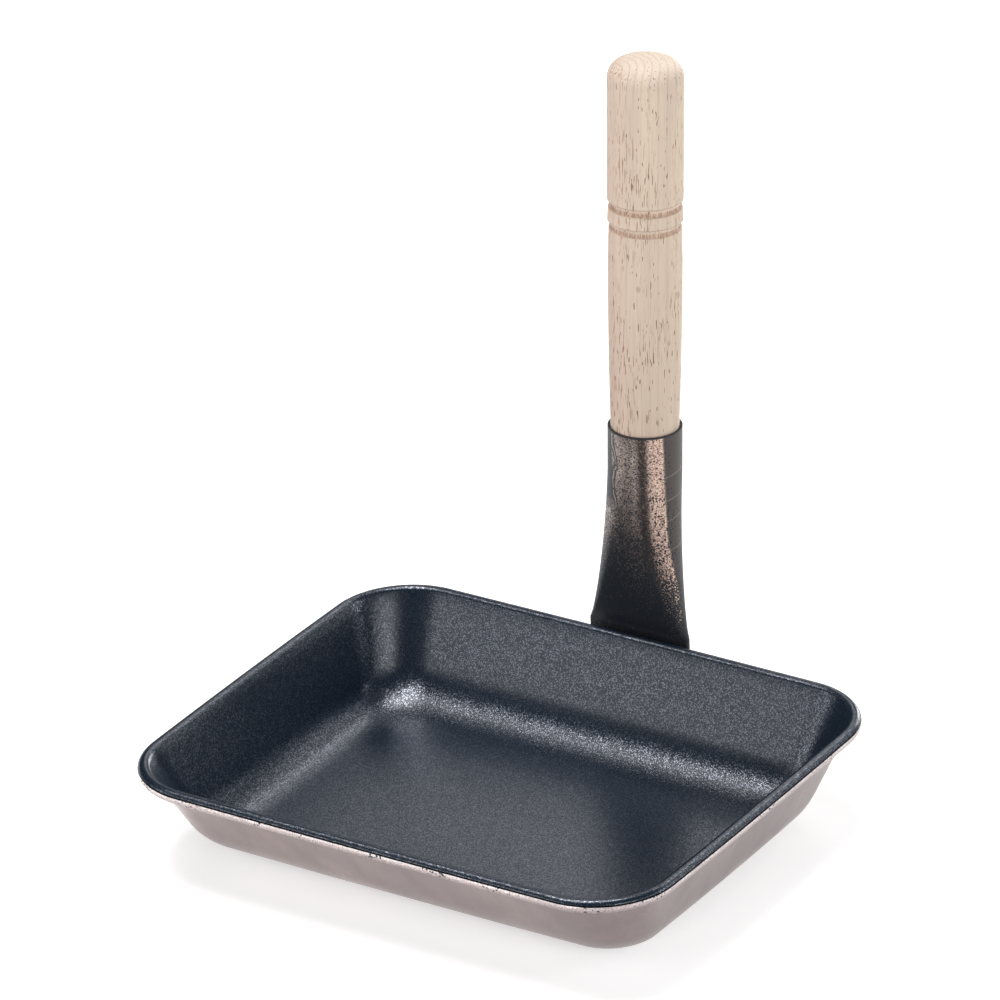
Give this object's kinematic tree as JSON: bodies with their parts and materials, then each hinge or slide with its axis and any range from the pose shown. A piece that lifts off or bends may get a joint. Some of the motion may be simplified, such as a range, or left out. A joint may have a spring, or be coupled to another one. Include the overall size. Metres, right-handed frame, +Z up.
{
  "type": "rectangular pan",
  "caption": "Shallow rectangular steel pan with sloping walls, a curled rim, a dark non-stick inside and an upright turned wooden grip in a flattened steel socket.",
  "frame": {"origin": "centre of the pan's flat underside, on the surface that it stands on", "axes": "+Z up, along the upright handle; +Y towards the handle, across the pan; +X along the pan's long side"},
  "size_m": [0.1918, 0.19, 0.2251],
  "materials": {
    "pan_coat": "dark blue-black non-stick coat with a fine metallic speckle inside, satin brown metallic coat outside",
    "socket_coat": "satin copper-brown coat with dark pits, darkening to blue-black at the foot",
    "grip_wood": "bare turned beech with short dark flecks",
    "nail_steel": "plain steel"
  },
  "bodies": {
    "root": {"pan_body": "pan_coat", "handle_socket": "socket_coat", "wooden_grip": "grip_wood", "grip_nail": "nail_steel"}
  },
  "joints": []
}
